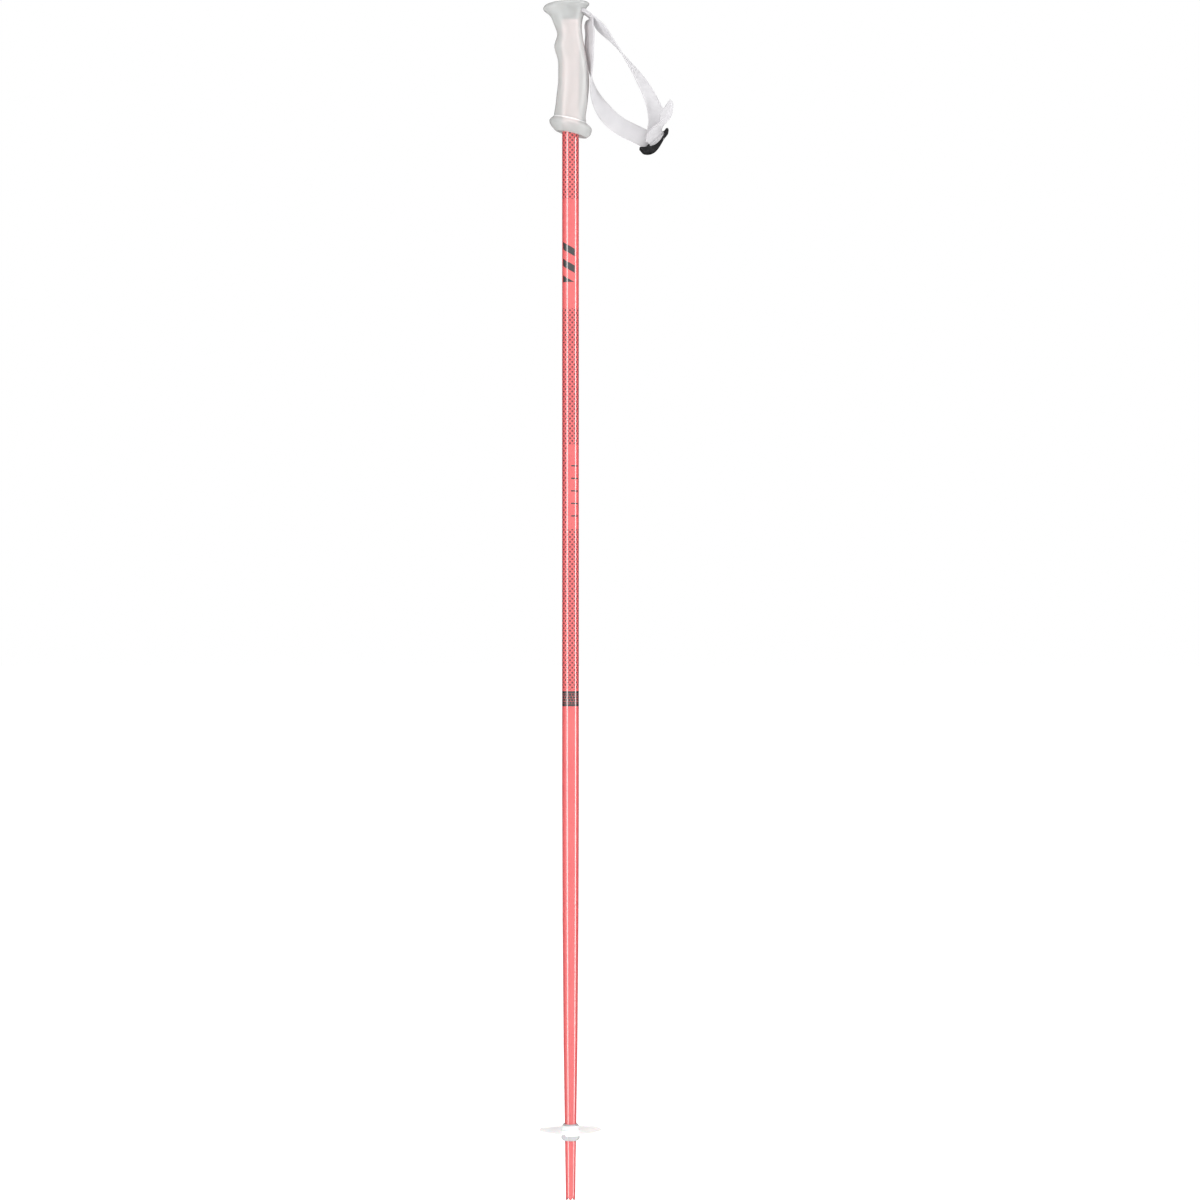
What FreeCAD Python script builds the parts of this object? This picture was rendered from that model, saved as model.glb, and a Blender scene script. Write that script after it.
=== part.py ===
import FreeCAD, Part
import math
import os

import Sketcher
from FreeCAD import Placement, Rotation, Vector

# Ski pole, 115 cm. +Z runs up the shaft, the origin is the centre of the tip's end,
# +X is the rear, where the strap hangs, and -X is the front, where the fingers lie.

doc = FreeCAD.newDocument("SkiPole")

# ---------------------------------------------------------------- driving sizes, mm and degrees

SIZES = {
    "pole_length": 1150.0,
    # shaft: a straight tube with three tapers below it, heights measured up from the tip
    "tube_diameter": 16.0,
    "tube_wall": 1.2,
    "tube_top_drop": 18.0,
    "upper_taper_top": 380.0,
    "upper_taper_end": 270.0,
    "upper_taper_diameter": 15.3,
    "middle_taper_end": 150.0,
    "middle_taper_diameter": 13.4,
    "tip_diameter": 9.0,
    "crown_depth": 3.0,
    "crown_teeth": 6,
    "crown_gap": 4.0,
    # plugs in the two ends of the tube
    "plug_clearance": 0.05,
    "top_plug_depth": 16.0,
    "top_plug_head": 1.8,
    "tip_plug_recess": 3.4,
    "tip_plug_depth": 14.0,
    # grip bore, with three grooves that hold the glue
    "bore_clearance": 0.05,
    "groove_depth": 0.7,
    "groove_height": 1.4,
    "upper_groove_drop": 35.5,
    "middle_groove_drop": 53.0,
    "lower_groove_drop": 99.0,
    # strap anchor inside the head, and the cap that closes it
    "pin_diameter": 4.0,
    "pin_seat": 1.6,
    "pin_reach": 3.0,
    "pin_drop": 9.8,
    "pocket_clearance": 0.35,
    "slot_clearance": 0.5,
    "cap_half_length": 6.4,
    "cap_margin": 0.8,
    "cap_seam": 0.1,
    "cap_foot_inset": 0.3,
    # strap webbing where it leaves the head
    "strap_width": 17.0,
    "strap_thickness": 1.6,
    "strap_fall": 35.0,
    "slot_mouth_reach": 13.3,
    "slot_reach": 22.0,
    "root_length": 4.9,
    "throat_length": 3.2,
    "webbing_gap": 0.35,
    "upper_start_fall": 51.0,
    "lower_start_fall": 104.0,
    "strand_start_turn": -8.0,
    # buckle at the bottom of the loop
    "buckle_reach": 81.0,
    "buckle_drop": 133.4,
    "buckle_lean": 41.0,
    "buckle_side_room": 4.6,
    "buckle_end_bar": 4.2,
    "buckle_gap": 0.89,
    "buckle_rim": 1.9,
    "buckle_top_of_rod": 1.4,
    "buckle_corner": 2.4,
    "buckle_edge": 0.5,
    "rod_seat": 1.5,
    "rod_diameter": 2.6,
    "rod_fit": 0.06,
    "webbing_slack": 0.15,
    "least_squareness": 0.82,
    "sewn_tab_length": 7.0,
    "upper_end_shift": 2.6,
    "lower_end_shift": -3.2,
    "tail_start_shift": 1.6,
    "tail_cut_lean": 56.0,
    "stitch_width": 1.3,
    "stitch_height": 0.3,
    "stitch_inset": 1.8,
    "near_stitch_inset": 4.3,
    # basket: a disc that turns on the sleeve of the collar pressed on the tube
    "basket_diameter": 60.0,
    "basket_height": 66.2,
    "disc_thickness": 1.5,
    "rim_lift": 0.9,
    "rim_width": 3.4,
    "notch_width": 5.5,
    "notch_length": 9.0,
    "notch_turn": 14.0,
    "hub_diameter": 16.8,
    "hub_height": 4.9,
    "hub_foot": 1.2,
    "sleeve_diameter": 13.8,
    "sleeve_clearance": 0.08,
    "bead_height": 1.1,
    "bead_swell": 0.45,
    "axial_play": 0.15,
    "collar_drop": 8.7,
    "collar_top_diameter": 19.2,
    "collar_end_diameter": 17.2,
    "collar_chamfer": 1.2,
    "collar_clearance": 0.05,
    "edge_break": 0.5,
    # how far a cutting tool runs past what it cuts
    "cut_overrun": 1.0,
}

# Stations up the grip: how far the front and the rear reach from the shaft's axis, how far
# each lies below the top of the pole, and half the width there.
GRIP_WORDS = ("front", "front_drop", "rear", "rear_drop", "half_width")
GRIP_STATIONS = {
    "hem": (8.9, 124.4, 9.0, 127.6, 8.7),
    "under": (14.2, 124.0, 12.6, 130.4, 12.8),
    "bowl": (18.1, 119.7, 17.4, 130.0, 17.6),
    "lip": (20.3, 114.4, 20.4, 123.3, 20.2),
    "brow": (18.9, 112.1, 17.9, 119.6, 17.8),
    "crease": (16.0, 109.4, 14.9, 114.2, 14.8),
    "heel": (14.7, 101.6, 15.4, 104.4, 13.6),
    "hollow": (13.7, 93.0, 16.7, 94.4, 12.9),
    "palm": (12.6, 84.0, 17.6, 84.6, 12.5),
    "swell": (11.8, 74.5, 17.9, 74.6, 12.3),
    "waist": (11.7, 65.0, 17.2, 65.0, 12.2),
    "under_bump": (12.5, 54.6, 15.8, 55.0, 12.2),
    "bump": (15.4, 44.4, 13.8, 45.0, 12.3),
    "over_bump": (13.5, 35.4, 11.9, 35.0, 12.0),
    "neck": (14.0, 26.6, 10.9, 25.0, 11.9),
    "throat": (17.4, 18.0, 11.9, 16.0, 13.0),
    "flare": (22.0, 11.8, 14.0, 9.2, 14.9),
    "rim": (26.3, 7.0, 17.9, 3.4, 16.8),
    "edge": (24.4, 4.1, 17.5, 1.5, 16.2),
    "dome": (19.6, 2.3, 13.6, 0.2, 13.6),
    "crown": (12.0, 1.1, 6.0, 0.0, 8.4),
}

# Stations along the webbing: reach behind the axis, drop below the top of the pole, side,
# and turn. A turn of 0 has the width straight across, and 90 has it flat to the side.
WEB_WORDS = ("reach", "drop", "side", "turn")
UPPER_STATIONS = {
    "upper_one": (28.4, 24.4, 0.0, -21.0),
    "upper_two": (37.6, 34.6, 0.0, -9.0),
    "upper_three": (49.9, 50.3, 0.4, 7.0),
    "upper_four": (62.4, 67.6, 0.8, 26.0),
    "upper_five": (72.9, 84.9, 0.9, 43.0),
    "upper_six": (80.8, 103.0, 0.6, 60.0),
    "upper_seven": (82.6, 116.0, 0.2, 78.0),
}
LOWER_STATIONS = {
    "lower_one": (18.3, 27.0, 0.0, -28.0),
    "lower_two": (18.0, 44.0, 0.0, -30.0),
    "lower_three": (19.3, 60.0, 0.0, -17.0),
    "lower_four": (20.1, 72.4, 0.0, 0.0),
    "lower_five": (23.4, 88.5, 0.8, 30.0),
    "lower_six": (31.6, 104.0, 2.0, 65.0),
    "lower_seven": (43.0, 116.0, 3.2, 82.0),
    "lower_eight": (60.0, 125.6, 3.9, 90.0),
}
TAIL_STATIONS = {
    "tail_one": (87.4, 117.0, -6.8, -62.0),
    "tail_two": (90.0, 102.5, -8.6, -62.0),
}

# Outline of the buckle from the side, a bowed plate: along as a share of half its length,
# and how far above the rod's axis.
RAIL_WORDS = ("along", "above")
RAIL_STATIONS = {
    "rail_thin_end": (0.948, -0.3),
    "rail_thin_foot": (0.896, -2.1),
    "rail_under_one": (0.578, -3.9),
    "rail_under_two": (0.231, -5.7),
    "rail_under_three": (-0.087, -7.4),
    "rail_belly": (-0.376, -8.0),
    "rail_under_four": (-0.636, -7.0),
    "rail_under_five": (-0.855, -4.3),
    "rail_thick_foot": (-0.985, -1.0),
    "rail_thick_end": (-1.0, 2.0),
    "rail_nose": (-0.925, 4.0),
    "rail_over_five": (-0.82, 2.9),
    "rail_over_four": (-0.694, 1.1),
    "rail_over_three": (-0.491, -1.4),
    "rail_over_two": (-0.26, -3.3),
    "rail_dip": (0.029, -3.9),
    "rail_over_one": (0.289, -3.2),
    "rail_rise": (0.578, -1.3),
    "rail_shoulder": (0.775, 0.8),
    "rail_thin_top": (0.902, 0.9),
}

sheet = doc.addObject("Spreadsheet::Sheet", "Sizes")
cells = {}


def addSizes(values):
    for alias, value in values.items():
        cells[alias] = "B%d" % (len(cells) + 1)
        sheet.set(cells[alias].replace("B", "A"), alias)
        sheet.set(cells[alias], str(value))
        sheet.setAlias(cells[alias], alias)


def addStations(stations, words):
    for station, values in stations.items():
        addSizes({station + "_" + word: value for word, value in zip(words, values)})


def size(alias):
    return float(sheet.get(cells[alias]))


addSizes(SIZES)
addStations(GRIP_STATIONS, GRIP_WORDS)
addStations(UPPER_STATIONS, WEB_WORDS)
addStations(LOWER_STATIONS, WEB_WORDS)
addStations(TAIL_STATIONS, WEB_WORDS)
addStations(RAIL_STATIONS, RAIL_WORDS)
doc.recompute()


# ---------------------------------------------------------------- helpers

def named(text):
    """Turns {word} in a formula into the sheet's cell of that name."""
    return text.replace("{", "Sizes.").replace("}", "")


def bind(thing, **formulas):
    for prop, formula in formulas.items():
        thing.setExpression(prop.replace("__", "."), named(formula))
    return thing


def moveTo(thing, x="0", y="0", z="0"):
    bind(thing, Placement__Base__x=x, Placement__Base__y=y, Placement__Base__z=z)
    return thing


def turnAboutY(thing, angle):
    thing.Placement = Placement(Vector(), Rotation(Vector(0, 1, 0), 1))
    bind(thing, Placement__Rotation__Angle=angle)
    return thing


def box(name, x, y, z):
    """A box from three pairs of formulas: where it starts and how long it is."""
    block = doc.addObject("Part::Box", name)
    bind(block, Length=x[1], Width=y[1], Height=z[1])
    return moveTo(block, x[0], y[0], z[0])


def crossCylinder(name, radius, halfLength, x, z):
    """A cylinder that lies across the pole, along Y."""
    rod = doc.addObject("Part::Cylinder", name)
    rod.Placement = Placement(Vector(), Rotation(Vector(1, 0, 0), -90))
    bind(rod, Radius=radius, Height="2 * (" + halfLength + ")")
    return moveTo(rod, x, "-(" + halfLength + ")", z)


def uprightCylinder(name, radius, height, x, y, z):
    rod = doc.addObject("Part::Cylinder", name)
    bind(rod, Radius=radius, Height=height)
    return moveTo(rod, x, y, z)


def fuse(name, pieces):
    joined = doc.addObject("Part::MultiFuse", name)
    joined.Shapes = pieces
    return joined


def cut(name, base, tool):
    result = doc.addObject("Part::Cut", name)
    result.Base = base
    result.Tool = tool
    return result


def common(name, first, second):
    result = doc.addObject("Part::Common", name)
    result.Base = first
    result.Tool = second
    return result


def originPlane(body, role):
    return [plane for plane in body.Origin.OriginFeatures if plane.Role == role][0]


def outlineSketch(body, role, name, outline):
    """A closed outline whose corners are formulas, drawn on one of the body's planes."""
    sketch = body.newObject("Sketcher::SketchObject", name)
    sketch.AttachmentSupport = [(originPlane(body, role), "")]
    sketch.MapMode = "FlatFace"
    count = len(outline)
    rough = [Vector(math.cos(2 * math.pi * k / count), math.sin(2 * math.pi * k / count), 0)
             for k in range(count)]
    for k in range(count):
        sketch.addGeometry(Part.LineSegment(rough[k], rough[(k + 1) % count]), False)
    for k in range(count):
        sketch.addConstraint(Sketcher.Constraint("Coincident", k, 2, (k + 1) % count, 1))
    for k, corner in enumerate(outline):
        for axis, letter, value, formula in (("DistanceX", "x", rough[k].x, corner[0]),
                                             ("DistanceY", "y", rough[k].y, corner[1])):
            index = sketch.addConstraint(Sketcher.Constraint(axis, -1, 1, k, 1, value))
            label = "%s%d" % (letter, k)
            sketch.renameConstraint(index, label)
            sketch.setExpression("Constraints." + label, named(formula))
    return sketch


def revolvedBody(label, outline):
    """A body turned about the pole's axis from an outline of radius and height."""
    body = doc.addObject("PartDesign::Body", label)
    sketch = outlineSketch(body, "XZ_Plane", label + "_outline", outline)
    turned = body.newObject("PartDesign::Revolution", label + "_turned")
    turned.Profile = sketch
    turned.ReferenceAxis = (sketch, ["V_Axis"])
    turned.Angle = 360
    body.Tip = turned
    return body


nodes = {}


def keep(label, thing):
    thing.Label = label
    nodes[label] = thing
    return thing


# ---------------------------------------------------------------- shaft

TAPER = "({middle_taper_diameter} - {tip_diameter}) / 2 / {middle_taper_end}"
TUBE_TOP = "({pole_length} - {tube_top_drop})"
TUBE_BORE = "({tube_diameter} / 2 - {tube_wall})"


def tipRadius(height):
    """The tube's outer radius at a height within its lowest taper."""
    return "({tip_diameter} / 2 + " + TAPER + " * (" + height + "))"


def buildShaftTube():
    body = revolvedBody("shaft_tube", [
        ("{tip_diameter} / 2", "0"),
        ("{middle_taper_diameter} / 2", "{middle_taper_end}"),
        ("{upper_taper_diameter} / 2", "{upper_taper_end}"),
        ("{tube_diameter} / 2", "{upper_taper_top}"),
        ("{tube_diameter} / 2", TUBE_TOP),
        (TUBE_BORE, TUBE_TOP),
        (TUBE_BORE, "{upper_taper_top}"),
        ("{upper_taper_diameter} / 2 - {tube_wall}", "{upper_taper_end}"),
        ("{middle_taper_diameter} / 2 - {tube_wall}", "{middle_taper_end}"),
        ("{tip_diameter} / 2 - {tube_wall}", "0"),
    ])
    doc.recompute()
    # Each notch passes through both walls, so half as many notches as teeth cut the crown.
    notch = outlineSketch(body, "YZ_Plane", "crown_notch_outline", [
        ("-{crown_gap} / 2", "0"),
        ("{crown_gap} / 2", "0"),
        ("0", "{crown_depth}"),
    ])
    pocket = body.newObject("PartDesign::Pocket", "crown_notch")
    pocket.Profile = notch
    pocket.SideType = "Symmetric"
    bind(pocket, Length="2 * {tip_diameter}")
    body.Tip = pocket
    doc.recompute()
    crown = body.newObject("PartDesign::PolarPattern", "crown")
    crown.Originals = [pocket]
    crown.Axis = (originPlane(body, "Z_Axis"), [""])
    bind(crown, Occurrences="{crown_teeth} / 2", Angle="180 - 360 / {crown_teeth}")
    body.Tip = crown
    return keep("shaft_tube", body)


def buildShaftTopPlug():
    shank = TUBE_BORE + " - {plug_clearance}"
    bottom = TUBE_TOP + " - {top_plug_depth}"
    return keep("shaft_top_plug", revolvedBody("shaft_top_plug", [
        ("0", bottom),
        (shank + " - {edge_break}", bottom),
        (shank, bottom + " + {edge_break}"),
        (shank, TUBE_TOP),
        ("{tube_diameter} / 2", TUBE_TOP),
        ("{tube_diameter} / 2", TUBE_TOP + " + {top_plug_head}"),
        ("0", TUBE_TOP + " + {top_plug_head}"),
    ]))


def buildTipPlug():
    low = "{tip_plug_recess}"
    high = "{tip_plug_recess} + {tip_plug_depth}"
    inset = " - {tube_wall} - {plug_clearance}"
    return keep("tip_plug", revolvedBody("tip_plug", [
        ("0", low),
        (tipRadius(low) + inset, low),
        (tipRadius(high) + inset, high),
        ("0", high),
    ]))


# ---------------------------------------------------------------- grip

PIN_HEIGHT = "({pole_length} - {pin_drop})"
PIN_RADIUS = "({pin_diameter} / 2)"
CAP_UNDERSIDE = "(" + PIN_HEIGHT + " + " + PIN_RADIUS + " + {strap_thickness} + {pocket_clearance})"
SLOT_HALF_WIDTH = "({strap_width} / 2 + {slot_clearance})"
PIN_HALF_LENGTH = "(" + SLOT_HALF_WIDTH + " + {pin_seat})"
CAP_HALF_WIDTH = "(" + PIN_HALF_LENGTH + " + {cap_margin})"
ABOVE_HEAD = "{pin_drop} + {pin_diameter}"


def gripSection(station):
    """The oval at a station, tilted so that it meets both the front and the rear outline."""
    words = {word: "{" + station + "_" + word + "}" for word in GRIP_WORDS}
    run = "({front} + {rear})".format(**words)
    rise = "({front_drop} - {rear_drop})".format(**words)
    oval = doc.addObject("Part::Ellipse", station + "_section")
    turnAboutY(oval, "-atan2(" + rise + "; " + run + ")")
    bind(oval, MajorRadius="sqrt(" + run + "^2 + " + rise + "^2) / 2", MinorRadius=words["half_width"])
    centre = "({rear} - {front}) / 2".format(**words)
    drop = "({front_drop} + {rear_drop}) / 2".format(**words)
    return moveTo(oval, centre, "0", "{pole_length} - " + drop)


def gripLoft(name, sections, first, last):
    order = list(GRIP_STATIONS)
    chosen = order[order.index(first):order.index(last) + 1]
    loft = doc.addObject("Part::Loft", name)
    loft.Sections = [sections[station] for station in chosen]
    loft.Solid = True
    loft.Ruled = False
    loft.MaxDegree = 3
    return loft


def capPrism(name, grow, bottom, height):
    """The obround block of the cap, or with a seam added, the opening that takes it."""
    radius = "({cap_half_length} + " + grow + ")"
    offset = "(" + CAP_HALF_WIDTH + " - {cap_half_length})"
    ends = [uprightCylinder(name + side, radius, height, "{pin_reach}", sign + offset, bottom)
            for side, sign in (("_left", "-"), ("_right", ""))]
    middle = box(name + "_middle", ("{pin_reach} - " + radius, "2 * " + radius),
                 ("-" + offset, "2 * " + offset), (bottom, height))
    return fuse(name, ends + [middle])


def buildGrip():
    sections = {station: gripSection(station) for station in GRIP_STATIONS}
    outside = fuse("grip_outside", [
        gripLoft("skirt", sections, "hem", "crease"),
        gripLoft("handle", sections, "crease", "rim"),
        gripLoft("head", sections, "rim", "crown"),
    ])
    bore = "({tube_diameter} / 2 + {bore_clearance})"
    boreTop = "(" + TUBE_TOP + " + {top_plug_head} + {bore_clearance})"
    room = "({strap_thickness} + " + PIN_RADIUS + " + {pocket_clearance})"
    hollows = [
        uprightCylinder("bore", bore, "{hem_rear_drop} + {tube_diameter}", "0", "0",
                        boreTop + " - {hem_rear_drop} - {tube_diameter}"),
        crossCylinder("loop_pocket", room, SLOT_HALF_WIDTH, "{pin_reach}", PIN_HEIGHT),
        box("loop_shaft", ("{pin_reach} - " + room, "2 * " + room),
            ("-" + SLOT_HALF_WIDTH, "2 * " + SLOT_HALF_WIDTH), (PIN_HEIGHT, ABOVE_HEAD)),
        crossCylinder("pin_seat_hole", PIN_RADIUS, PIN_HALF_LENGTH, "{pin_reach}", PIN_HEIGHT),
        box("pin_shaft", ("{pin_reach} - " + PIN_RADIUS, "{pin_diameter}"),
            ("-" + PIN_HALF_LENGTH, "2 * " + PIN_HALF_LENGTH), (PIN_HEIGHT, ABOVE_HEAD)),
        box("strap_slot", ("{pin_reach}", "{slot_reach} - {pin_reach}"),
            ("-" + SLOT_HALF_WIDTH, "2 * " + SLOT_HALF_WIDTH),
            (PIN_HEIGHT + " - {strap_thickness} - {slot_clearance}",
             "2 * ({strap_thickness} + {slot_clearance})")),
        capPrism("cap_opening", "{cap_seam}", CAP_UNDERSIDE, ABOVE_HEAD),
    ]
    for place in ("upper", "middle", "lower"):
        hollows.append(uprightCylinder(
            place + "_groove", bore + " + {groove_depth}", "{groove_height}", "0", "0",
            "{pole_length} - {" + place + "_groove_drop} - {groove_height} / 2"))
    keep("grip_body", cut("grip_body", outside, fuse("grip_hollows", hollows)))

    plate = common("cap_plate", outside, capPrism("cap_block", "0", CAP_UNDERSIDE, ABOVE_HEAD))
    foot = "{pin_seat}"
    footInset = "({pin_reach} - " + PIN_RADIUS + " + {cap_foot_inset})"
    footLength = "{pin_diameter} - 2 * {cap_foot_inset}"
    footHeight = "{strap_thickness} + {pocket_clearance} + {edge_break}"
    pinTop = PIN_HEIGHT + " + " + PIN_RADIUS
    feet = [
        box("cap_foot_left", (footInset, footLength), ("-" + PIN_HALF_LENGTH + " + {cap_seam}", foot),
            (pinTop, footHeight)),
        box("cap_foot_right", (footInset, footLength),
            (SLOT_HALF_WIDTH + " - {cap_seam}", foot), (pinTop, footHeight)),
    ]
    keep("head_cap", fuse("head_cap", [plate] + feet))
    keep("strap_anchor_pin", crossCylinder(
        "strap_anchor_pin", PIN_RADIUS, PIN_HALF_LENGTH, "{pin_reach}", PIN_HEIGHT))


# ---------------------------------------------------------------- strap, from the head outwards

def buildStrapRoot():
    """Webbing doubled round the pin, out through the slot and bent down at its mouth."""
    half = "{strap_width} / 2"
    loop = crossCylinder("root_loop", PIN_RADIUS + " + {strap_thickness}", half,
                         "{pin_reach}", PIN_HEIGHT)
    inside = box("root_inside", ("{pin_reach}", "{slot_mouth_reach} - {pin_reach}"),
                 ("-" + half, "{strap_width}"),
                 (PIN_HEIGHT + " - {strap_thickness}", "2 * {strap_thickness}"))
    bend = crossCylinder("root_bend", "{strap_thickness}", half, "{slot_mouth_reach}", PIN_HEIGHT)
    outside = fallingSlab("root_outside", "0", "{root_length}")
    hole = crossCylinder("root_hole", PIN_RADIUS, half, "{pin_reach}", PIN_HEIGHT)
    keep("strap_root", cut("strap_root", fuse("root_layers", [loop, inside, bend, outside]), hole))


def fallingSlab(name, start, length):
    """Doubled webbing along the line that falls away from the slot's mouth."""
    slab = doc.addObject("Part::Box", name)
    turnAboutY(slab, "{strap_fall}")
    bind(slab, Length=length, Width="{strap_width}", Height="2 * {strap_thickness}")
    x = "{slot_mouth_reach} + (" + start + ") * cos({strap_fall} * 1deg)"
    z = PIN_HEIGHT + " - (" + start + ") * sin({strap_fall} * 1deg)"
    return moveTo(slab, x + " - {strap_thickness} * sin({strap_fall} * 1deg)", "-{strap_width} / 2",
                  z + " - {strap_thickness} * cos({strap_fall} * 1deg)")


HINGE_RUN = "({root_length} + {webbing_gap} + {throat_length})"


def buildStrapThroat():
    """The short stretch that twists just outside the slot, rounded where the loop hinges."""
    slab = fallingSlab("throat_slab", "{root_length} + {webbing_gap}", "{throat_length}")
    end = crossCylinder(
        "throat_end", "{strap_thickness}", "{strap_width} / 2",
        "{slot_mouth_reach} + " + HINGE_RUN + " * cos({strap_fall} * 1deg)",
        PIN_HEIGHT + " - " + HINGE_RUN + " * sin({strap_fall} * 1deg)")
    keep("strap_throat", fuse("strap_throat", [slab, end]))


ACROSS = Vector(0, 1, 0)


def unitAt(degrees):
    return Vector(math.cos(math.radians(degrees)), 0, math.sin(math.radians(degrees)))


def hingePoint():
    run = size("root_length") + size("webbing_gap") + size("throat_length")
    mouth = Vector(size("slot_mouth_reach"), 0, size("pole_length") - size("pin_drop"))
    return mouth + unitAt(-size("strap_fall")) * run


def buckleCentre():
    return Vector(size("buckle_reach"), 0, size("pole_length") - size("buckle_drop"))


def turnRadius():
    """Middle of the webbing that turns round the buckle's rod and the end sewn on it."""
    sewn = size("rod_diameter") / 2 + size("rod_fit") + size("strap_thickness")
    return sewn + size("webbing_slack") + size("strap_thickness") / 2


def stationPoints(stations):
    return [Vector(size(name + "_reach"), size(name + "_side"),
                   size("pole_length") - size(name + "_drop")) for name in stations]


def stationTurns(stations):
    return [size(name + "_turn") for name in stations]


def splineThrough(points, knots):
    curve = Part.BSplineCurve()
    curve.interpolate(Points=points, Parameters=knots)
    return curve


def webbing(label, points, turns, startEdge=None, endEdge=None, endAlong=None,
            sections=15, edgeShare=0.25):
    """A strip lofted through upright sections of the webbing along a curve.

    An edge direction given for an end skews the width there, as where the webbing
    runs into the buckle at an angle, and the strip keeps its width square to its run.
    """
    knots = [0.0]
    for before, after in zip(points, points[1:]):
        knots.append(knots[-1] + (after - before).Length)
    middle = splineThrough(points, knots)
    twist = splineThrough([Vector(turn, knot, 0) for turn, knot in zip(turns, knots)], knots)
    wires = []
    for k in range(sections):
        share = k / (sections - 1)
        place = share * knots[-1]
        along = middle.tangent(place)[0]
        if k == sections - 1 and endAlong:
            along = endAlong
        side = along.cross(ACROSS).normalize()
        turn = math.radians(twist.value(place).x)
        edge = ACROSS * math.cos(turn) + side * math.sin(turn)
        for wanted, nearness in ((startEdge, 1 - share / edgeShare),
                                 (endEdge, 1 - (1 - share) / edgeShare)):
            if wanted and nearness > 0:
                blend = nearness * nearness * (3 - 2 * nearness)
                edge = (edge * (1 - blend) + wanted * blend).normalize()
        squareness = max(math.sqrt(1 - edge.dot(along) ** 2), size("least_squareness"))
        half = edge * (size("strap_width") / 2 / squareness)
        skin = along.cross(edge).normalize() * (size("strap_thickness") / 2)
        centre = middle.value(place)
        corners = [centre + half + skin, centre - half + skin,
                   centre - half - skin, centre + half - skin]
        wires.append(Part.makePolygon(corners + corners[:1]))
    strip = doc.addObject("Part::Feature", label)
    strip.Shape = Part.makeLoft(wires, True, False)
    return keep(label, strip)


def buildStrands():
    hinge = hingePoint()
    clear = size("strap_thickness") + size("webbing_gap")
    longways = unitAt(size("buckle_lean"))
    inward = unitAt(size("buckle_lean") - 90)
    rod = buckleCentre()
    radius = turnRadius()
    startTurn = size("strand_start_turn")

    upperEnd = rod + longways * size("upper_end_shift") - inward * size("sewn_tab_length")
    webbing("strap_upper_strand",
            [hinge + unitAt(-size("upper_start_fall")) * clear]
            + stationPoints(UPPER_STATIONS) + [upperEnd],
            [startTurn] + stationTurns(UPPER_STATIONS) + [90.0],
            endEdge=longways, endAlong=inward)

    lowerEnd = rod + longways * size("lower_end_shift") + ACROSS * radius
    webbing("strap_lower_strand",
            [hinge + unitAt(-size("lower_start_fall")) * clear]
            + stationPoints(LOWER_STATIONS) + [lowerEnd],
            [startTurn] + stationTurns(LOWER_STATIONS) + [90.0],
            endEdge=longways, endAlong=inward, sections=19)

    tailStart = (rod + longways * size("tail_start_shift") - ACROSS * radius
                 - inward * size("webbing_slack"))
    tailExit = tailStart - inward * (size("buckle_top_of_rod") + size("webbing_slack"))
    webbing("strap_tail", [tailStart, tailExit] + stationPoints(TAIL_STATIONS),
            [-90.0, -90.0] + stationTurns(TAIL_STATIONS), startEdge=longways,
            endEdge=unitAt(size("tail_cut_lean")), sections=11, edgeShare=1.0)


def buildStrapTurn():
    """The half turn of webbing round the rod, from the lower strand into the tail."""
    longways = unitAt(size("buckle_lean"))
    inward = unitAt(size("buckle_lean") - 90)
    half = size("strap_thickness") / 2
    first = size("lower_end_shift")
    last = size("tail_start_shift")
    wires = []
    steps = 9
    for k in range(steps):
        angle = math.pi * k / (steps - 1)
        out = ACROSS * math.cos(angle) + inward * math.sin(angle)
        shift = first + (last - first) * k / (steps - 1)
        centre = buckleCentre() + longways * shift + out * turnRadius()
        edge = longways * (size("strap_width") / 2)
        skin = out * half
        corners = [centre + edge + skin, centre - edge + skin,
                   centre - edge - skin, centre + edge - skin]
        wires.append(Part.makePolygon(corners + corners[:1]))
    turned = doc.addObject("Part::Feature", "strap_turn")
    turned.Shape = Part.makeLoft(wires, True, False)
    keep("strap_turn", turned)


def placeAtBuckle(thing):
    """The buckle's own frame: X along its length, Y across, Z back up the strap."""
    turnAboutY(thing, "-{buckle_lean}")
    return moveTo(thing, "{buckle_reach}", "0", "{pole_length} - {buckle_drop}")


def rodwiseCylinder(name, radius, length, shift):
    rod = doc.addObject("Part::Cylinder", name)
    rod.Placement = Placement(Vector(), Rotation(Vector(0, 1, 0), 90))
    bind(rod, Radius=radius, Height=length)
    return moveTo(rod, shift + " - (" + length + ") / 2", "0", "0")


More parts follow.
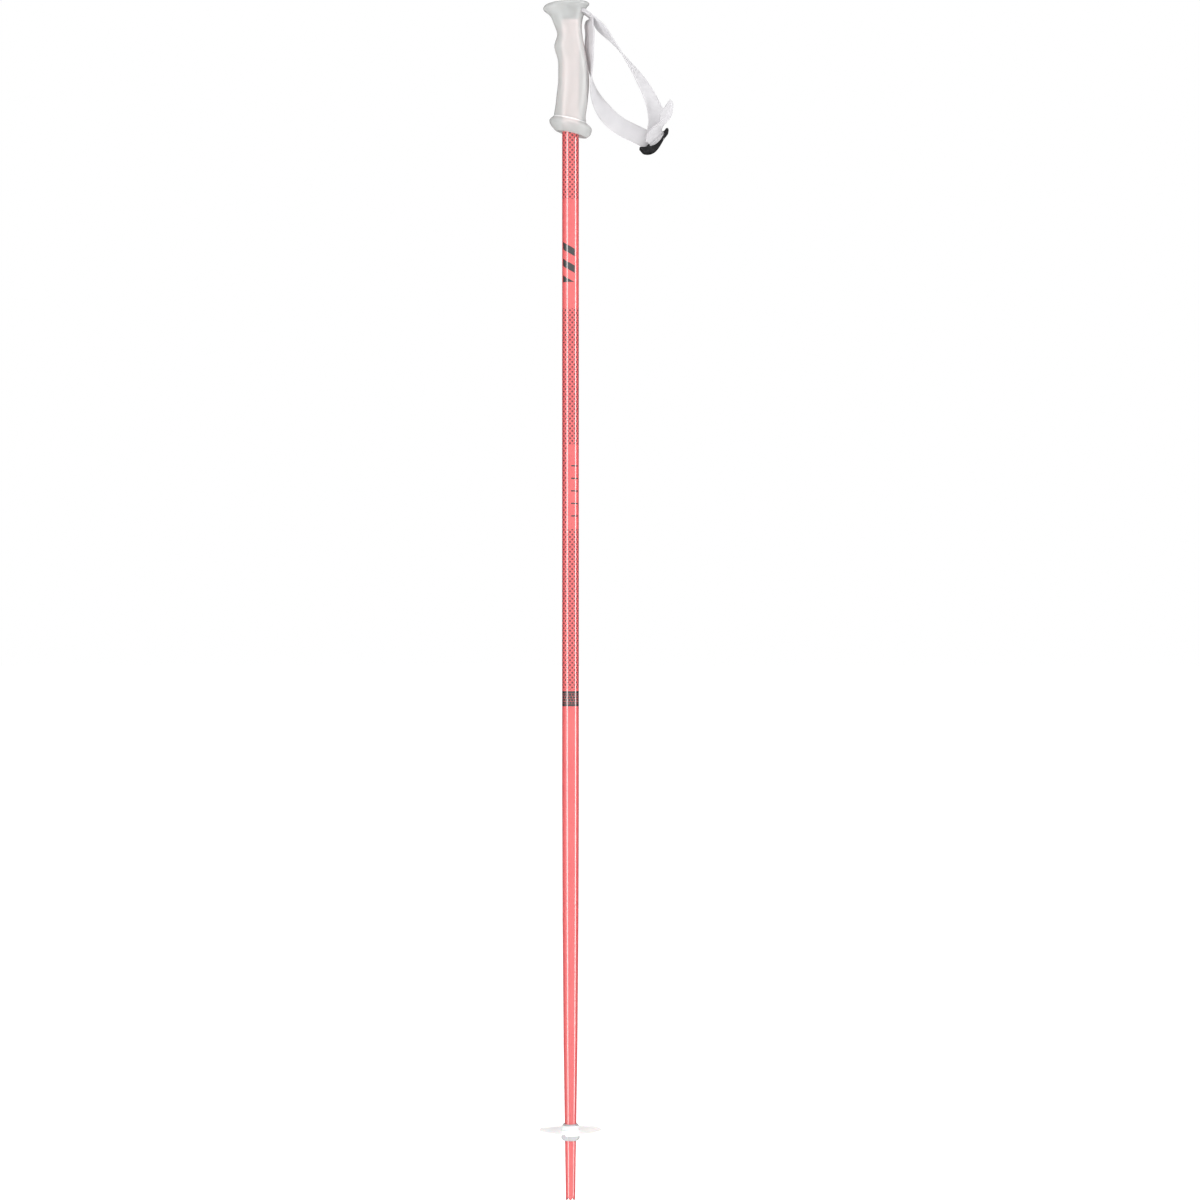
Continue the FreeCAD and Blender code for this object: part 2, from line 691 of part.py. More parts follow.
def buildSewnEnd():
    """The upper strand's end, folded round the rod and sewn to itself."""
    eye = "({rod_diameter} / 2 + {rod_fit})"
    outer = rodwiseCylinder("sewn_eye", eye + " + {strap_thickness}", "{strap_width}",
                            "{upper_end_shift}")
    tab = box("sewn_tab", ("{upper_end_shift} - {strap_width} / 2", "{strap_width}"),
              ("-{strap_thickness}", "2 * {strap_thickness}"), ("0", "{sewn_tab_length}"))
    hole = rodwiseCylinder("sewn_hole", eye, "{strap_width} + 2 * {cut_overrun}", "{upper_end_shift}")
    keep("strap_sewn_end", placeAtBuckle(cut("strap_sewn_end", fuse("sewn_layers", [outer, tab]), hole)))

    rows = []
    for side, start in (("front", "-{strap_thickness} - {stitch_height}"), ("back", "{strap_thickness}")):
        for row in ("near", "far"):
            gap = "{stitch_inset}" if row == "far" else "{near_stitch_inset}"
            rows.append(box(
                "stitch_%s_%s" % (side, row),
                ("{upper_end_shift} - {strap_width} / 2 + {stitch_inset}",
                 "{strap_width} - 2 * {stitch_inset}"),
                (start, "{stitch_height}"),
                ("{sewn_tab_length} - " + gap, "{stitch_width}")))
    stitches = doc.addObject("Part::Compound", "strap_stitches")
    stitches.Links = rows
    keep("strap_stitches", placeAtBuckle(stitches))


def buildBuckle():
    """A bowed plate with rounded ends, an opening for the webbing and a rod across it."""
    openHalf = "({strap_width} / 2 + {buckle_side_room})"
    halfLength = "(" + openHalf + " + {buckle_end_bar} - {buckle_edge})"
    openDepth = "({rod_diameter} / 2 + {rod_fit} + 2 * {strap_thickness} + {webbing_slack} + {buckle_gap})"
    depth = "(" + openDepth + " + {buckle_rim})"
    above = "({rail_nose_above} + {buckle_rim})"
    height = "(" + above + " - {rail_belly_above} + {buckle_rim})"
    reach = size("strap_width") / 2 + size("buckle_side_room") + size("buckle_end_bar")
    side = (size("rod_diameter") / 2 + size("rod_fit") + 2 * size("strap_thickness")
            + size("webbing_slack") + size("buckle_gap") + size("buckle_rim"))
    outline = Part.BSplineCurve()
    outline.interpolate(Points=[Vector(size(name + "_along") * reach, -side, size(name + "_above"))
                                for name in RAIL_STATIONS], PeriodicFlag=True)
    plate = Part.Face(Part.Wire(outline.toShape())).extrude(Vector(0, 2 * side, 0))
    rails = [edge for edge in plate.Edges if isRailOutline(edge, side)]
    bowed = doc.addObject("Part::Feature", "buckle_plate")
    bowed.Shape = plate.makeFillet(size("buckle_edge"), rails)

    plan = doc.addObject("PartDesign::Body", "buckle_plan")
    block = plan.newObject("PartDesign::AdditiveBox", "buckle_block")
    bind(block, Length="2 * " + halfLength, Width="2 * " + depth, Height=height)
    moveTo(block, "-" + halfLength, "-" + depth, above + " - " + height)
    doc.recompute()
    corners = plan.newObject("PartDesign::Fillet", "buckle_corners")
    corners.Base = (block, ["Edge%d" % (k + 1) for k, edge in enumerate(block.Shape.Edges)
                            if isUpright(edge)])
    bind(corners, Radius="{buckle_corner}")
    plan.Tip = corners
    opening = box("buckle_opening", ("-" + openHalf, "2 * " + openHalf),
                  ("-" + openDepth, "2 * " + openDepth), (above + " - " + height, height))
    rod = rodwiseCylinder("buckle_rod", "{rod_diameter} / 2", "2 * (" + openHalf + " + {rod_seat})", "0")
    ring = cut("buckle_ring", common("buckle_rounded", bowed, plan), opening)
    keep("buckle_frame", placeAtBuckle(fuse("buckle_frame", [ring, rod])))


def isUpright(edge):
    return edge.BoundBox.ZLength > edge.BoundBox.XLength + edge.BoundBox.YLength


def isRailOutline(edge, side):
    """The two closed outlines on the plate's sides, and not the seam between them."""
    return edge.BoundBox.YLength < side


# ---------------------------------------------------------------- basket

DISC_BOTTOM = "({basket_height} - {disc_thickness} / 2)"
DISC_TOP = "({basket_height} + {disc_thickness} / 2)"
HUB_TOP = "(" + DISC_TOP + " + {hub_height})"


def buildBasketDisc():
    bore = "{sleeve_diameter} / 2 + {sleeve_clearance}"
    rim = "{basket_diameter} / 2"
    body = revolvedBody("basket_disc", [
        (bore, DISC_BOTTOM),
        (rim + " - {rim_width}", DISC_BOTTOM),
        (rim + " - {edge_break}", DISC_BOTTOM + " + {rim_lift}"),
        (rim, DISC_BOTTOM + " + {rim_lift} + {edge_break}"),
        (rim, DISC_TOP + " + {rim_lift} - {edge_break}"),
        (rim + " - {edge_break}", DISC_TOP + " + {rim_lift}"),
        (rim + " - {rim_width}", DISC_TOP),
        ("{hub_diameter} / 2 + {hub_foot}", DISC_TOP),
        ("{hub_diameter} / 2", DISC_TOP + " + {hub_foot}"),
        ("{hub_diameter} / 2", HUB_TOP + " - {edge_break}"),
        ("{hub_diameter} / 2 - {edge_break}", HUB_TOP),
        (bore, HUB_TOP),
    ])
    doc.recompute()
    turn = "(-90 - {notch_turn})"
    inner = "({basket_diameter} / 2 - {notch_length})"
    notch = body.newObject("PartDesign::SubtractiveBox", "rim_notch")
    notch.Placement = Placement(Vector(), Rotation(Vector(0, 0, 1), -90))
    bind(notch, Length="{notch_length} + {cut_overrun}", Width="{notch_width}",
         Height="{disc_thickness} + {rim_lift} + 2 * {cut_overrun}", Placement__Rotation__Angle=turn)
    moveTo(notch,
           inner + " * cos(" + turn + " * 1deg) + {notch_width} / 2 * sin(" + turn + " * 1deg)",
           inner + " * sin(" + turn + " * 1deg) - {notch_width} / 2 * cos(" + turn + " * 1deg)",
           DISC_BOTTOM + " - {cut_overrun}")
    body.Tip = notch
    doc.recompute()
    end = body.newObject("PartDesign::SubtractiveCylinder", "notch_end")
    bind(end, Radius="{notch_width} / 2", Height="{disc_thickness} + {rim_lift} + 2 * {cut_overrun}")
    moveTo(end, inner + " * cos(" + turn + " * 1deg)", inner + " * sin(" + turn + " * 1deg)",
           DISC_BOTTOM + " - {cut_overrun}")
    body.Tip = end
    keep("basket_disc", body)


def buildBasketCollar():
    low = "({basket_height} - {collar_drop})"
    seat = "(" + DISC_BOTTOM + " - {axial_play})"
    beadFoot = "(" + HUB_TOP + " + {axial_play})"
    top = "(" + beadFoot + " + {bead_height})"
    sleeve = "{sleeve_diameter} / 2"
    keep("basket_collar", revolvedBody("basket_collar", [
        (tipRadius(low) + " + {collar_clearance}", low),
        ("{collar_end_diameter} / 2 - {collar_chamfer}", low),
        ("{collar_end_diameter} / 2", low + " + {collar_chamfer}"),
        ("{collar_top_diameter} / 2", seat),
        (sleeve, seat),
        (sleeve, beadFoot),
        (sleeve + " + {bead_swell}", beadFoot),
        (sleeve + " + {bead_swell}", beadFoot + " + {bead_height} / 2"),
        (sleeve, top),
        (tipRadius(top) + " + {collar_clearance}", top),
    ]))


# ---------------------------------------------------------------- build, check and write

buildShaftTube()
buildShaftTopPlug()
buildTipPlug()
buildGrip()
buildStrapRoot()
buildStrapThroat()
buildStrands()
buildStrapTurn()
buildSewnEnd()
buildBuckle()
buildBasketDisc()
buildBasketCollar()
doc.recompute()

failed = [thing.Name for thing in doc.Objects if "Invalid" in thing.State or "Error" in thing.State]
if failed:
    raise SystemExit("these objects did not compute: " + ", ".join(failed))
for label, thing in nodes.items():
    if thing.Shape.isNull() or not thing.Shape.isValid():
        raise SystemExit(label + " has no valid shape")

os.makedirs("parts", exist_ok=True)
for label, thing in nodes.items():
    thing.Shape.exportStep("parts/%s.step" % label)
    bounds = thing.Shape.BoundBox
    print("%-20s %9.1f mm3  x %6.1f to %6.1f  y %6.1f to %6.1f  z %7.1f to %7.1f" % (
        label, thing.Shape.Volume, bounds.XMin, bounds.XMax, bounds.YMin, bounds.YMax,
        bounds.ZMin, bounds.ZMax))
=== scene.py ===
import math

import bpy
import numpy as np
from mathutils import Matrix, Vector


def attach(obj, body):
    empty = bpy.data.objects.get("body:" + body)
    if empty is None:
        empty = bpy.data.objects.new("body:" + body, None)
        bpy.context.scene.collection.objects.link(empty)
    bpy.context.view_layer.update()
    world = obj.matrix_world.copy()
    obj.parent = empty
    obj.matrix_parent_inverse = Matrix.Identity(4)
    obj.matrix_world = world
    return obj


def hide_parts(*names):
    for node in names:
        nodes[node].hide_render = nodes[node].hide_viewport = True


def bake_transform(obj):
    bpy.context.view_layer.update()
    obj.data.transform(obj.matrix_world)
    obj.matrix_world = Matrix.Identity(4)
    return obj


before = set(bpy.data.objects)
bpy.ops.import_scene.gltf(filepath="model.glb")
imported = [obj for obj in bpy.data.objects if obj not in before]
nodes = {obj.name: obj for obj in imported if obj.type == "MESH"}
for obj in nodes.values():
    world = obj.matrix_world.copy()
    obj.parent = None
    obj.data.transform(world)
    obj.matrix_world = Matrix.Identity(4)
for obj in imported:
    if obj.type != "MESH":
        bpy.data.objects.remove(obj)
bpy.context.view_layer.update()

mm = 0.001
scene = bpy.context.scene
scene.view_settings.view_transform = "Standard"
print("frame loaded:", len(nodes), "nodes")


# camera, level with the middle of the pole
cameraSetup = {"place": (0.0283, -3.0, 0.5756), "lens": 93.8}

cameraData = bpy.data.cameras.new("poleCamera")
cameraData.lens = cameraSetup["lens"]
cameraData.clip_end = 100
camera = bpy.data.objects.new("poleCamera", cameraData)
camera.location = cameraSetup["place"]
camera.rotation_euler = (math.radians(90), 0, 0)
scene.collection.objects.link(camera)
scene.camera = camera


# studio: two tall soft panels whose reflections run down the tube, one overhead, pale floor
studio = {
    "ambientFall": (-0.35, 0.25, 0.62, 0.06),
    "background": 1.0,
    "floorColor": (0.92, 0.92, 0.92, 1),
    "floorGlow": 0.78,
    "floorHalfSize": 30.0,
    "floorHeight": -0.12,   # below the basket when it is pulled off
    # name: bearing from the front in degrees (+ to the right), distance, width, brightness
    "panels": {"leftPanel": (-46, 2.1, 0.60, 3.9), "rightPanel": (76, 2.0, 0.48, 4.9)},
    "panelHeight": 3.4,
    "topBrightness": 2.6,
}


def addPanel(name, place, aim, width, height, brightness):
    data = bpy.data.lights.new(name, "AREA")
    data.shape = "RECTANGLE"
    data.size = width
    data.size_y = height
    data.energy = brightness * width * height * math.pi   # watts for that radiance
    panel = bpy.data.objects.new(name, data)
    panel.location = place
    panel.rotation_mode = "QUATERNION"
    panel.rotation_quaternion = (Vector(aim) - Vector(place)).to_track_quat("-Z", "Y")
    panel.visible_camera = False
    scene.collection.objects.link(panel)
    return panel


for name, (bearing, distance, width, brightness) in studio["panels"].items():
    a = math.radians(bearing)
    place = (distance * math.sin(a), -distance * math.cos(a), 0.6)
    addPanel(name, place, (0, 0, 0.6), width, studio["panelHeight"], brightness)
addPanel("topPanel", (0.4, -0.6, 3.2), (0, 0, 0.8), 2.2, 2.2, studio["topBrightness"])

world = bpy.data.worlds.new("studio")
scene.world = world
world.use_nodes = True
tree = world.node_tree
tree.nodes.clear()
surround = tree.nodes.new("ShaderNodeBackground")
bearings = tree.nodes.new("ShaderNodeSeparateXYZ")
depth = tree.nodes.new("ShaderNodeMapRange")   # bright in front of the pole, dark flags behind it
for socket, value in zip(("From Min", "From Max", "To Min", "To Max"), studio["ambientFall"]):
    depth.inputs[socket].default_value = value
tree.links.new(tree.nodes.new("ShaderNodeTexCoord").outputs["Generated"], bearings.inputs[0])
tree.links.new(bearings.outputs["Y"], depth.inputs["Value"])
tree.links.new(depth.outputs[0], surround.inputs["Strength"])
backdrop = tree.nodes.new("ShaderNodeBackground")
backdrop.inputs["Strength"].default_value = studio["background"]
for background in (surround, backdrop):
    background.inputs["Color"].default_value = (1, 1, 1, 1)
rays = tree.nodes.new("ShaderNodeLightPath")
chooser = tree.nodes.new("ShaderNodeMixShader")
worldOut = tree.nodes.new("ShaderNodeOutputWorld")
tree.links.new(rays.outputs["Is Camera Ray"], chooser.inputs[0])
tree.links.new(surround.outputs[0], chooser.inputs[1])
tree.links.new(backdrop.outputs[0], chooser.inputs[2])
tree.links.new(chooser.outputs[0], worldOut.inputs[0])
print("camera and studio ready")


# small helpers for material nodes
class Recipe:
    def __init__(self, name, **plain):
        self.material = bpy.data.materials.new(name)
        self.material.use_nodes = True
        self.tree = self.material.node_tree
        self.shader = self.tree.nodes["Principled BSDF"]
        for socket, value in plain.items():
            self.shader.inputs[socket.replace("_", " ")].default_value = value

    def node(self, kind, **inputs):
        made = self.tree.nodes.new("ShaderNode" + kind)
        for socket, value in inputs.items():
            self.put(made.inputs[socket.replace("_", " ")], value)
        return made

    def put(self, socket, value):
        if isinstance(value, bpy.types.NodeSocket):
            self.tree.links.new(value, socket)
        else:
            socket.default_value = value

    def math(self, operation, first, second=0.0, third=0.0):
        made = self.tree.nodes.new("ShaderNodeMath")
        made.operation = operation
        for socket, value in zip(made.inputs, (first, second, third)):
            self.put(socket, value)
        return made.outputs[0]

    def smooth(self, value, low, high):   # 0 below low, 1 above high, soft in between
        made = self.node("MapRange", Value=value, From_Min=low, From_Max=high)
        made.interpolation_type = "SMOOTHSTEP"
        return made.outputs[0]

    def within(self, value, low, high, soft):   # 1 from low to high
        rise = self.smooth(value, low - soft, low + soft)
        fall = self.smooth(value, high - soft, high + soft)
        return self.math("SUBTRACT", rise, fall)

    def mix(self, share, first, second):
        made = self.tree.nodes.new("ShaderNodeMix")
        made.data_type = "RGBA"
        self.put(made.inputs[0], share)
        self.put(made.inputs[6], first)
        self.put(made.inputs[7], second)
        return made.outputs[2]

    def noise(self, scale, detail=3.0, stretch=(1, 1, 1)):
        place = self.node("TexCoord").outputs["Object"]
        mapping = self.node("Mapping", Vector=place, Scale=stretch)
        made = self.node("TexNoise", Vector=mapping.outputs[0], Scale=scale, Detail=detail)
        return made.outputs["Fac"]

    def between(self, value, low, high):   # spreads a noise of 0.3 to 0.7 from low to high
        return self.node("MapRange", Value=value, From_Min=0.3, From_Max=0.7,
                         To_Min=low, To_Max=high).outputs[0]

    def bump(self, height, strength, distance):
        made = self.node("Bump", Height=height, Strength=strength, Distance=distance)
        self.tree.links.new(made.outputs[0], self.shader.inputs["Normal"])

    def color(self, value):
        self.put(self.shader.inputs["Base Color"], value)

    def roughness(self, value):
        self.put(self.shader.inputs["Roughness"], value)


def dress(node, recipe):
    mesh = nodes[node].data
    mesh.materials.clear()
    mesh.materials.append(recipe.material)


# shaft: gloss coral lacquer with printed dots, bars and a ring band, sizes in millimetres
shaftFinish = {
    "coral": (0.80, 0.118, 0.118, 1),
    "coralDeep": (0.76, 0.100, 0.105, 1),
    "dot": (0.15, 0.008, 0.012, 1),
    # painted glow: tint and strength of the light the tube gives off inside the handle
    "paintedGlowTint": (0.98, 0.74, 0.73, 1),
    "paintedHandleGlow": 2.3,
    "handleHem": 1023.0,
    "hemFade": 16.0,
    "charcoal": (0.012, 0.014, 0.015, 1),
    "aluminium": (0.80, 0.80, 0.81, 1),
    "dotColumns": 22,
    "dotPitch": 4.72,
    "dotRadius": 1.04,
    "dotStart": 494.3,
    "dotBearing": -93.3,
    "upperDots": (959.5, 1132.0),
    "lowerDots": (490.0, 855.0),
    "plainFace": (643.5, 724.0),
    "plainBearings": (-112.0, 20.0),
    "scaleBars": (655.0, 715.0),
    "scalePitch": 12.0,
    "scaleBarHeight": 1.3,
    "scaleBearings": (-86.0, -30.0),
    "stripes": (880.0, 921.0),
    "stripePitch": 16.0,
    "stripeHeight": 7.2,
    "stripeSlant": 0.55,
    "stripeBearings": (-152.0, -58.0),
    "ringBand": (473.9, 488.3),
    "ringEdge": 2.1,
    "ringRow": 2.55,
    "ringGap": 0.05,
    "ringCells": 18,
}


def coralLacquer():
    f = shaftFinish
    r = Recipe("coralLacquer", Coat_Weight=1.0, Coat_Roughness=0.055, Coat_IOR=2.1,
               IOR=1.5)
    place = r.node("SeparateXYZ", Vector=r.node("TexCoord").outputs["Object"]).outputs
    height = r.math("MULTIPLY", place[2], 1000.0)
    bearing = r.math("DEGREES", r.math("ARCTAN2", place[1], place[0]))
    # dots: two lattices, the second half a step round and half a step up
    column = r.math("DIVIDE", r.math("SUBTRACT", bearing, f["dotBearing"]), 720 / f["dotColumns"])
    row = r.math("DIVIDE", r.math("SUBTRACT", height, f["dotStart"]), f["dotPitch"])
    ringStep = 2 * math.pi * 8.0 / (f["dotColumns"] / 2)   # millimetres between like columns
    nearest = []
    for shift in (0.0, 0.5):
        apart = []
        for value, step in ((column, ringStep), (row, f["dotPitch"])):
            cell = r.math("FRACT", r.math("ADD", r.math("SUBTRACT", value, shift), 1000.5))
            apart.append(r.math("MULTIPLY", r.math("SUBTRACT", cell, 0.5), step))
        nearest.append(r.math("SQRT", r.math("ADD", r.math("POWER", apart[0], 2.0),
                                             r.math("POWER", apart[1], 2.0))))
    dots = r.math("SUBTRACT", 1.0, r.smooth(r.math("MINIMUM", *nearest),
                                            f["dotRadius"] - 0.12, f["dotRadius"] + 0.12))
    zones = r.math("ADD", r.within(height, *f["upperDots"], 0.1), r.within(height, *f["lowerDots"], 0.1))
    plain = r.math("MULTIPLY", r.within(height, *f["plainFace"], 0.1),
                   r.within(bearing, *f["plainBearings"], 0.8))
    dots = r.math("MULTIPLY", r.math("MULTIPLY", dots, zones), r.math("SUBTRACT", 1.0, plain))
    # short bars in the plain face
    bar = r.math("FRACT", r.math("DIVIDE", r.math("SUBTRACT", height, f["scaleBars"][0]), f["scalePitch"]))
    bars = r.within(r.math("MULTIPLY", bar, f["scalePitch"]), 0.4, 0.4 + f["scaleBarHeight"], 0.1)
    bars = r.math("MULTIPLY", bars, r.within(height, *f["scaleBars"], 0.1))
    bars = r.math("MULTIPLY", bars, r.within(bearing, *f["scaleBearings"], 0.8))
    # slanted stripes below the upper dots
    slanted = r.math("MULTIPLY_ADD", bearing, f["stripeSlant"] * 0.14, height)
    stripe = r.math("FRACT", r.math("DIVIDE", r.math("SUBTRACT", slanted, f["stripes"][0]),
                                    f["stripePitch"]))
    stripes = r.within(r.math("MULTIPLY", stripe, f["stripePitch"]), 4.0, 4.0 + f["stripeHeight"], 0.12)
    stripes = r.math("MULTIPLY", stripes, r.within(height, *f["stripes"], 0.12))
    stripes = r.math("MULTIPLY", stripes, r.within(bearing, *f["stripeBearings"], 0.9))
    # ring band: two solid edges with rows of small blocks between them
    low, high = f["ringBand"]
    band = r.within(height, low, high, 0.1)
    core = r.within(height, low + f["ringEdge"], high - f["ringEdge"], 0.05)
    rowPlace = r.math("DIVIDE", r.math("SUBTRACT", height, low + f["ringEdge"]), f["ringRow"])
    rowGap = r.within(r.math("FRACT", rowPlace), f["ringGap"], 1 - f["ringGap"], 0.04)
    turnPlace = r.math("MULTIPLY_ADD", r.math("FLOOR", rowPlace), 0.37,
                       r.math("DIVIDE", bearing, 360 / f["ringCells"]))
    cells = r.within(r.math("FRACT", r.math("ADD", turnPlace, 100.0)), f["ringGap"], 1 - f["ringGap"], 0.05)
    band = r.math("MULTIPLY", band, r.math("SUBTRACT", 1.0, r.math(
        "MULTIPLY", core, r.math("SUBTRACT", 1.0, r.math("MULTIPLY", rowGap, cells)))))
    ink = r.math("MAXIMUM", r.math("MAXIMUM", bars, stripes), band)
    # lacquer, and bare metal on the cut crown and inside the tube
    lacquer = r.mix(r.between(r.noise(38.0), 0.0, 1.0), f["coral"], f["coralDeep"])
    painted = r.mix(ink, r.mix(dots, lacquer, f["dot"]), f["charcoal"])
    outward = r.node("VectorMath", Vector=r.node("TexCoord").outputs["Normal"])
    outward.operation = "DOT_PRODUCT"
    flat = r.node("CombineXYZ", X=place[0], Y=place[1])
    radial = r.node("VectorMath", Vector=flat.outputs[0])
    radial.operation = "NORMALIZE"
    r.put(outward.inputs[1], radial.outputs[0])
    bare = r.math("SUBTRACT", 1.0, r.smooth(outward.outputs["Value"], 0.2, 0.6))
    chips = r.smooth(r.noise(420.0, 4.0), 0.60, 0.66)   # small wear just above the crown
    chips = r.math("MULTIPLY", chips, r.math("SUBTRACT", 1.0, r.smooth(height, 0.5, 5.0)))
    bare = r.math("MAXIMUM", bare, chips)
    paintedGlowMask = r.smooth(height, f["handleHem"], f["handleHem"] + f["hemFade"])   # painted glow: paler and lit inside the handle, standing in for light through the milky moulding
    painted = r.mix(paintedGlowMask, painted, f["paintedGlowTint"])
    r.color(r.mix(bare, painted, f["aluminium"]))
    # painted glow: the tube under the handle emits pale pink light
    r.put(r.shader.inputs["Emission Color"], f["paintedGlowTint"])
    r.put(r.shader.inputs["Emission Strength"], r.math("MULTIPLY", paintedGlowMask, f["paintedHandleGlow"]))
    r.put(r.shader.inputs["Metallic"], bare)
    r.roughness(r.between(r.noise(90.0, 4.0, (1, 1, 0.3)), 0.24, 0.36))
    raised = r.math("MULTIPLY", r.math("MAXIMUM", dots, ink), 0.35)
    r.bump(r.math("ADD", r.math("MULTIPLY", r.noise(650.0, 2.0), 0.6), raised), 0.12, 0.00006)
    return r


dress("shaft_tube", coralLacquer())
print("shaft finished")


# handle: milky soft moulding that lets the tube show faintly through
handleFinish = {
    "milk": (0.50, 0.515, 0.505, 1),
    "milkWarm": (0.55, 0.55, 0.545, 1),
    "paintedCreaseHighlight": (0.93, 0.93, 0.93, 1),
    "crease": (1035.4, 1036.6, 0.229),   # height range and slope of the painted highlight along the step above the skirt
    "seeThrough": 0.74,
    "capWhite": (0.70, 0.705, 0.70, 1),
    "capShade": (0.64, 0.65, 0.645, 1),
    "grain": 0.00005,
}


def milkyMoulding():
    f = handleFinish
    r = Recipe("milkyMoulding", Alpha=f["seeThrough"], IOR=1.45, Subsurface_Weight=0.35,
               Subsurface_Scale=0.004, Coat_Weight=0.9, Coat_Roughness=0.22)
    r.shader.inputs["Subsurface Radius"].default_value = (1.0, 0.95, 0.93)
    flow = r.noise(26.0, 3.0, (1, 1, 0.35))   # faint streaks along the way the mould filled
    place = r.node("SeparateXYZ", Vector=r.node("TexCoord").outputs["Object"]).outputs
    # painted highlight: a pale band along the step above the skirt, where it catches the light
    creaseHighlightMask = r.math("MULTIPLY_ADD", place[0], f["crease"][2] * 1000, r.math("MULTIPLY", place[2], 1000.0))
    creaseHighlightMask = r.within(creaseHighlightMask, f["crease"][0], f["crease"][1], 0.35)
    r.color(r.mix(creaseHighlightMask, r.mix(r.between(flow, 0.0, 1.0), f["milk"], f["milkWarm"]), f["paintedCreaseHighlight"]))
    r.roughness(r.between(r.noise(160.0, 4.0), 0.30, 0.46))
    grain = r.math("ADD", r.noise(1500.0, 2.0), r.math("MULTIPLY", r.noise(60.0, 2.0), 1.5))
    r.bump(grain, 0.18, f["grain"])
    return r


def capPlastic():
    f = handleFinish
    r = Recipe("capPlastic", IOR=1.48, Subsurface_Weight=0.15, Subsurface_Scale=0.002)
    r.color(r.mix(r.between(r.noise(70.0), 0.0, 1.0), f["capWhite"], f["capShade"]))
    r.roughness(r.between(r.noise(240.0, 4.0), 0.34, 0.5))
    r.bump(r.noise(1800.0, 2.0), 0.2, f["grain"])
    return r


def plugPlastic():
    r = Recipe("plugPlastic", IOR=1.48)
    rings = r.node("TexWave", Vector=r.node("TexCoord").outputs["Object"], Scale=260.0,
                   Distortion=0.4)
    rings.wave_type = "RINGS"
    rings.rings_direction = "Z"
    r.color(r.mix(r.between(r.noise(120.0), 0.0, 1.0), (0.70, 0.70, 0.69, 1), (0.62, 0.62, 0.61, 1)))
    r.roughness(r.between(r.noise(300.0, 3.0), 0.4, 0.6))
    r.bump(rings.outputs["Fac"], 0.2, 0.00004)   # turned ends
    return r


def pinSteel():
    r = Recipe("pinSteel", Metallic=1.0)
    lines = r.noise(900.0, 4.0, (1, 0.02, 1))   # drawn along its length
    r.color(r.mix(r.between(lines, 0.0, 1.0), (0.56, 0.57, 0.58, 1), (0.44, 0.45, 0.46, 1)))
    r.roughness(r.between(lines, 0.22, 0.4))
    r.bump(lines, 0.15, 0.00003)
    return r


dress("grip_body", milkyMoulding())
dress("head_cap", capPlastic())
plug = plugPlastic()
dress("shaft_top_plug", plug)
dress("tip_plug", plug)
dress("strap_anchor_pin", pinSteel())
print("handle finished")


# basket, its collar and the strap's buckle
basketFinish = {"disc": (0.96, 0.965, 0.965, 1), "discShade": (0.92, 0.93, 0.93, 1),
                # collar: its grey is partly the plastic's own tone and partly painted shade from the disc
                # above it
                "collar": (0.52, 0.53, 0.54, 1), "collarShade": (0.46, 0.47, 0.48, 1),
                "rings": 900.0, "thinFrom": (0.0088, 0.0100), "paintedDiscGlow": 0.40}
buckleFinish = {"black": (0.007, 0.007, 0.008, 1), "worn": (0.022, 0.022, 0.024, 1)}


def basketPlastic(name, color, shade, clear, coat, glow):
    r = Recipe(name, Alpha=clear, IOR=1.5, Coat_Weight=coat, Coat_Roughness=0.12,
               Subsurface_Weight=0.25, Subsurface_Scale=0.003)
    place = r.node("SeparateXYZ", Vector=r.node("TexCoord").outputs["Object"]).outputs
    reach = r.math("SQRT", r.math("ADD", r.math("POWER", place[0], 2.0), r.math("POWER", place[1], 2.0)))
    rings = r.math("SINE", r.math("MULTIPLY", reach, basketFinish["rings"] * 2 * math.pi))
    r.shader.inputs["Emission Color"].default_value = color
    r.put(r.shader.inputs["Emission Strength"],   # painted glow standing in for light that comes through the thin disc
          r.math("MULTIPLY", r.smooth(reach, *basketFinish["thinFrom"]), glow))
    r.color(r.mix(r.between(r.noise(45.0, 4.0), 0.0, 1.0), color, shade))
    r.roughness(r.between(r.noise(130.0, 4.0), 0.26, 0.42))
    fine = r.math("MULTIPLY_ADD", rings, 0.35, r.noise(1300.0, 2.0))   # cutter rings left by the mould
    r.bump(fine, 0.14, 0.00005)
    return r


def buckleNylon():
    f = buckleFinish
    r = Recipe("buckleNylon", IOR=1.5, Specular_IOR_Level=0.28)
    r.color(r.mix(r.smooth(r.noise(210.0, 5.0), 0.52, 0.72), f["black"], f["worn"]))
    r.roughness(r.between(r.noise(420.0, 3.0), 0.36, 0.56))
    r.bump(r.noise(2600.0, 2.0), 0.3, 0.00006)
    return r


dress("basket_disc", basketPlastic("basketPlastic", basketFinish["disc"], basketFinish["discShade"],
                                   clear=0.93, coat=0.5, glow=basketFinish["paintedDiscGlow"]))
# the collar's grey is partly its own tone, partly painted shade under the disc
dress("basket_collar", basketPlastic("collarPaintedShade", basketFinish["collar"], basketFinish["collarShade"],
                                     clear=1.0, coat=0.3, glow=0.0))
dress("buckle_frame", buckleNylon())
print("basket and buckle finished")


